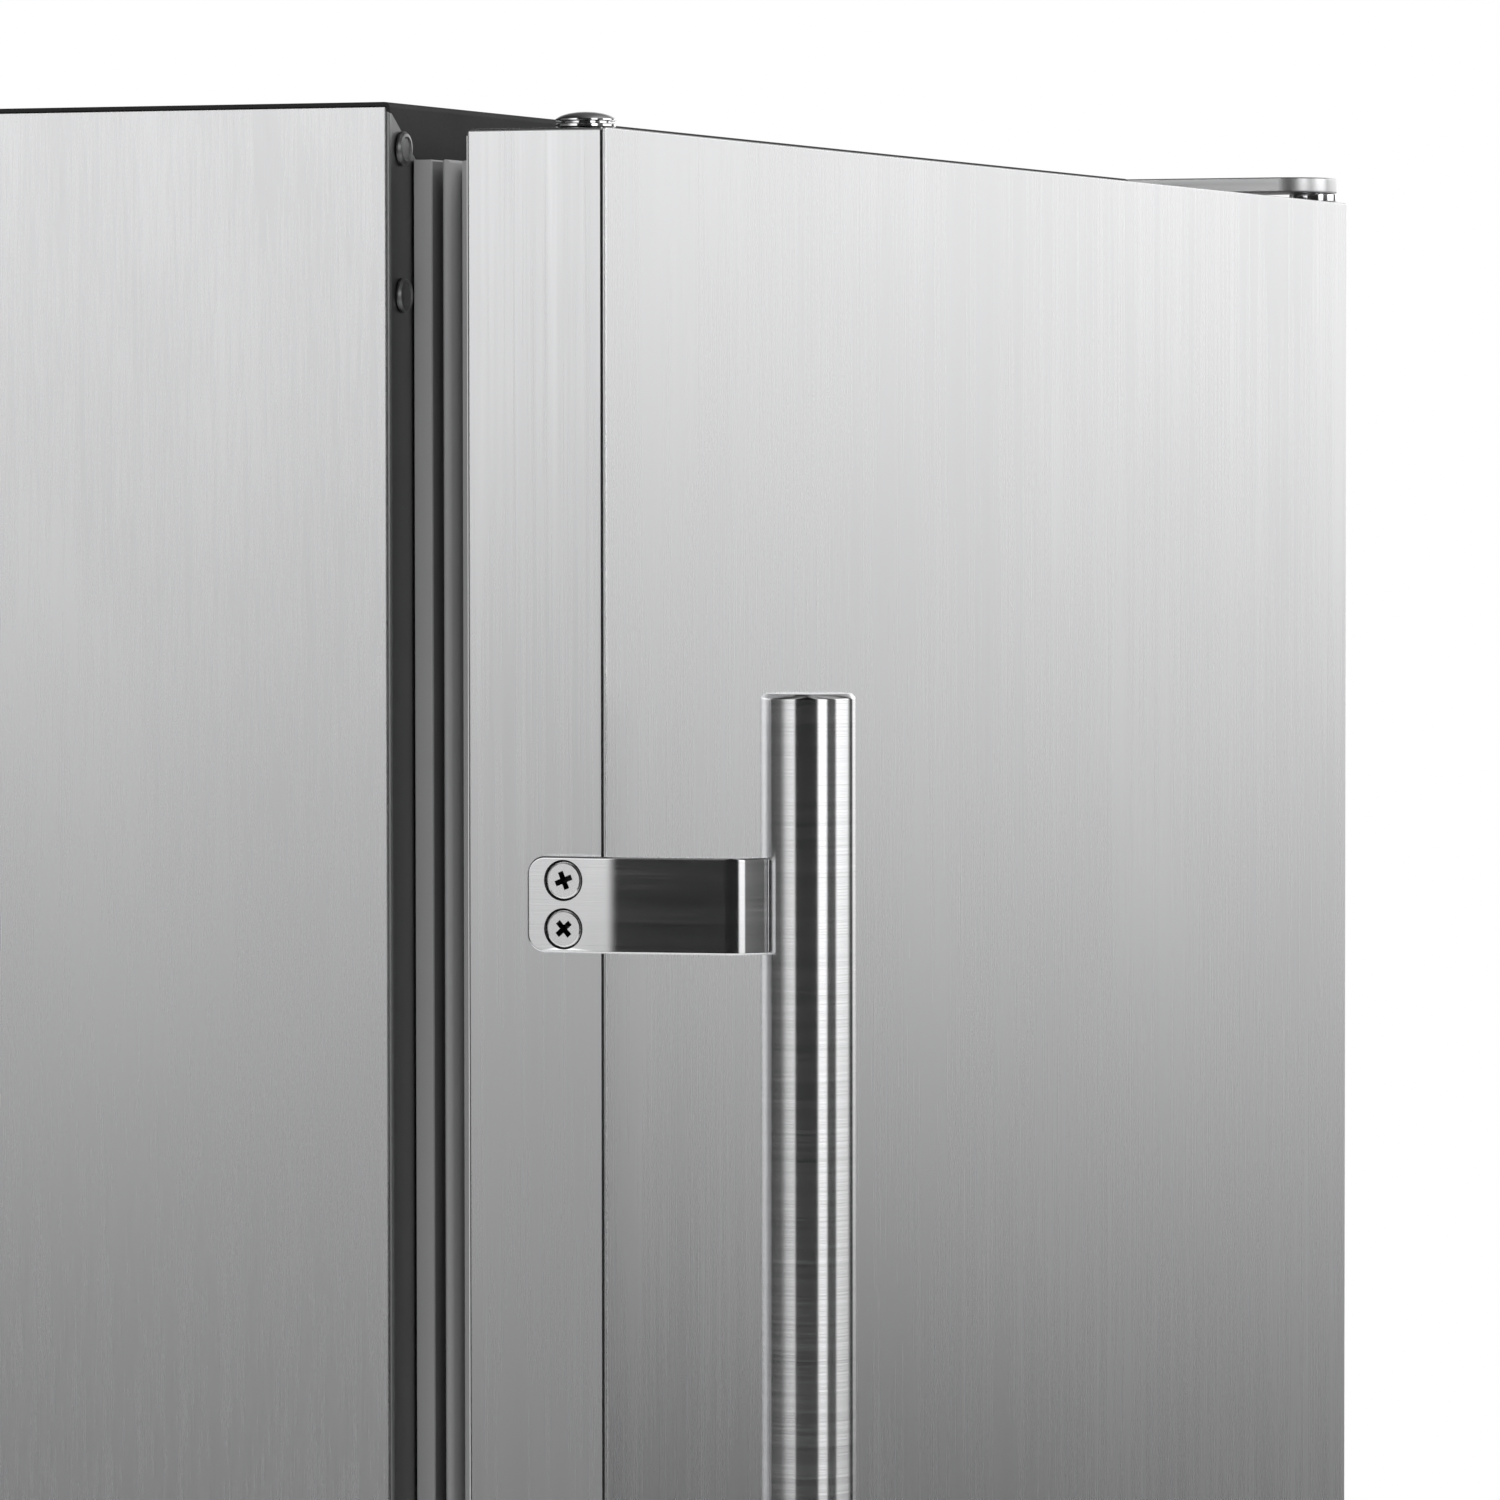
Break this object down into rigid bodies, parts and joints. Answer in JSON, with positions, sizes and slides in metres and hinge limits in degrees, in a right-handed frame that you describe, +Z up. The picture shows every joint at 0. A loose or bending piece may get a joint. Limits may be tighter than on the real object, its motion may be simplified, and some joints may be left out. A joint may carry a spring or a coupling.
{
  "type": "undercounter refrigerator",
  "caption": "Undercounter refrigerator with a brushed stainless cabinet, one side-hinged solid door and a vertical round bar handle on strap brackets.",
  "frame": {"origin": "centre of the outline's footprint, on the floor that the feet stand on", "axes": "+X to the right seen from the front, +Y to the rear (the door faces -Y), +Z up"},
  "size_m": [0.598, 0.654, 0.852],
  "materials": {
    "brushed_stainless": "satin",
    "satin_steel": "satin",
    "zinc_steel": "satin",
    "chrome": "polished",
    "copper": "satin",
    "black_paint": "satin",
    "black_plastic": "matte",
    "liner_white": "satin",
    "lens_clear": "gloss",
    "shelf_wire": "satin",
    "gasket_rubber": "matte",
    "foam": "matte"
  },
  "bodies": {
    "cabinet": {"base_pan": "zinc_steel", "base_rail_left": "zinc_steel", "base_rail_right": "zinc_steel", "bottom_hinge_bracket": "satin_steel", "bottom_hinge_pin": "chrome", "bottom_panel": "zinc_steel", "breaker_strip": "liner_white", "compressor": "black_paint", "condensate_tray": "black_plastic", "condenser_coil": "black_paint", "condenser_fan_motor": "zinc_steel", "condenser_fan_shroud": "zinc_steel", "control_housing": "liner_white", "evaporator_coil": "copper", "evaporator_cover": "liner_white", "evaporator_fan_motor": "zinc_steel", "flange_plug_lower": "satin_steel", "flange_plug_upper": "satin_steel", "hinge_seat": "black_paint", "inner_liner": "liner_white", "insulation_foam": "foam", "light_lens": "lens_clear", "lower_front_rail": "brushed_stainless", "power_inlet": "black_plastic", "rear_access_grille": "zinc_steel", "rear_panel": "zinc_steel", "shelf_lower": "shelf_wire", "shelf_middle": "shelf_wire", "shelf_rail_left": "zinc_steel", "shelf_rail_right": "zinc_steel", "shelf_upper": "shelf_wire", "side_panel_left": "brushed_stainless", "side_panel_right": "brushed_stainless", "toe_kick_grille": "brushed_stainless", "top_hinge_bracket": "satin_steel", "top_hinge_pin": "chrome", "top_panel": "black_paint"},
    "door": {"door_front_panel": "brushed_stainless", "door_frame": "brushed_stainless", "door_foam": "foam", "door_liner": "liner_white", "door_gasket": "gasket_rubber", "handle_bar": "brushed_stainless", "handle_bracket_top": "brushed_stainless", "handle_bracket_bottom": "brushed_stainless", "hinge_bush_top": "chrome", "hinge_bush_bottom": "chrome", "hinge_hole_cap": "chrome", "handle_screw_top_upper": "chrome", "handle_screw_top_lower": "chrome", "handle_screw_bottom_upper": "chrome", "handle_screw_bottom_lower": "chrome"},
    "thermostat_dial_body": {"thermostat_dial": "black_plastic"},
    "light_rocker_body": {"light_rocker": "black_plastic"},
    "condenser_fan": {"condenser_fan_blade": "black_plastic"},
    "evaporator_fan": {"evaporator_fan_blade": "liner_white"},
    "foot_front_left_body": {"foot_front_left": "black_plastic"},
    "foot_front_right_body": {"foot_front_right": "black_plastic"},
    "foot_rear_left_body": {"foot_rear_left": "black_plastic"},
    "foot_rear_right_body": {"foot_rear_right": "black_plastic"}
  },
  "joints": [
    {"name": "door_hinge", "type": "hinge", "parent": "cabinet", "child": "door", "pos_m": [0.291, -0.26505, 0.105], "axis": [0, 0, 1], "range_deg": [0, 110]},
    {"name": "thermostat_turn", "type": "hinge", "parent": "cabinet", "child": "thermostat_dial_body", "pos_m": [0.0715, -0.18535, 0.785], "axis": [0, -1, 0], "range_deg": [0, 270]},
    {"name": "light_switch_rock", "type": "hinge", "parent": "cabinet", "child": "light_rocker_body", "pos_m": [-0.0685, -0.18535, 0.785], "axis": [1, 0, 0], "range_deg": [0, 14]},
    {"name": "condenser_fan_spin", "type": "hinge", "parent": "cabinet", "child": "condenser_fan", "pos_m": [0.1115, 0.25195, 0.15], "axis": [0, 1, 0], "continuous": true},
    {"name": "evaporator_fan_spin", "type": "hinge", "parent": "cabinet", "child": "evaporator_fan", "pos_m": [0.0015, 0.22895, 0.71835], "axis": [0, 1, 0], "continuous": true},
    {"name": "foot_front_left_turn", "type": "hinge", "parent": "cabinet", "child": "foot_front_left_body", "pos_m": [-0.265, -0.17505, 0], "axis": [0, 0, 1], "continuous": true},
    {"name": "foot_front_right_turn", "type": "hinge", "parent": "cabinet", "child": "foot_front_right_body", "pos_m": [0.268, -0.17505, 0], "axis": [0, 0, 1], "continuous": true},
    {"name": "foot_rear_left_turn", "type": "hinge", "parent": "cabinet", "child": "foot_rear_left_body", "pos_m": [-0.265, 0.28195, 0], "axis": [0, 0, 1], "continuous": true},
    {"name": "foot_rear_right_turn", "type": "hinge", "parent": "cabinet", "child": "foot_rear_right_body", "pos_m": [0.268, 0.28195, 0], "axis": [0, 0, 1], "continuous": true}
  ]
}
